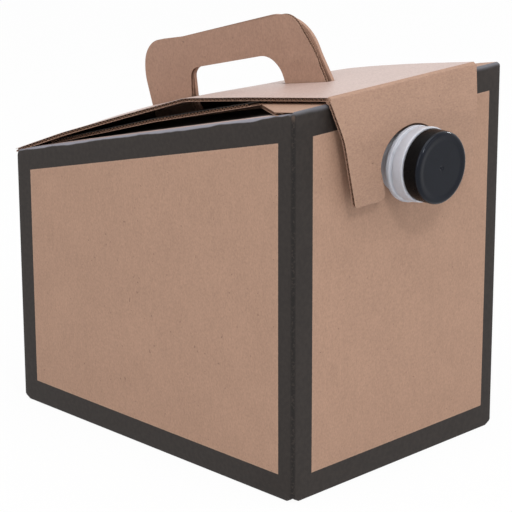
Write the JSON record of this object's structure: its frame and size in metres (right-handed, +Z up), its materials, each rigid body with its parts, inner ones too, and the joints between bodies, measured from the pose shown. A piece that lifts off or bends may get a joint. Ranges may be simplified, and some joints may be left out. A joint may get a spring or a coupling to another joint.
{
  "type": "disposable beverage dispenser box",
  "caption": "Corrugated drink carton with a sloping slotted lid, twin-ply carrying handle, notched tongue, inner bag and a capped pouring spout.",
  "frame": {"origin": "centre of the carton's base, on the surface it stands on", "axes": "+Z up; the spout points along -Y, out of the front panel; +X runs to the right across the front panel as seen by someone who faces it"},
  "size_m": [0.162, 0.2509, 0.2384],
  "materials": {
    "kraft_board": "matte kraft liner with dark printed borders",
    "bag_film": "satin film",
    "spout_plastic": "satin natural polyethylene",
    "liner_foam": "matte foam",
    "cap_plastic": "smooth black polypropylene"
  },
  "bodies": {
    "root": {"carton_body": "kraft_board", "bag": "bag_film", "spout_fitment": "spout_plastic"},
    "lid": {"lid": "kraft_board"},
    "tongue": {"tongue": "kraft_board"},
    "cap_seal": {"cap_liner": "liner_foam"},
    "cap": {"cap": "cap_plastic"}
  },
  "joints": [
    {"name": "lid_hinge", "type": "hinge", "parent": "root", "child": "lid", "pos_m": [0, 0.111, 0.1493], "axis": [-1, 0, 0], "range_deg": [0, 120]},
    {"name": "tongue_fold", "type": "hinge", "parent": "lid", "child": "tongue", "pos_m": [0, -0.1114, 0.2136], "axis": [-1, 0, 0], "range_deg": [0, 95]},
    {"name": "cap_lift", "type": "slide", "parent": "root", "child": "cap_seal", "axis": [0, -1, 0], "range_m": [0, 0.0071]},
    {"name": "cap_turn", "type": "hinge", "parent": "cap_seal", "child": "cap", "pos_m": [0, -0.1299, 0.1728], "axis": [0, -1, 0], "range_deg": [0, 630]}
  ],
  "couplings": [
    {"joint": "cap_lift", "follows": "cap_turn", "m_per_rad": 0.00063662}
  ]
}
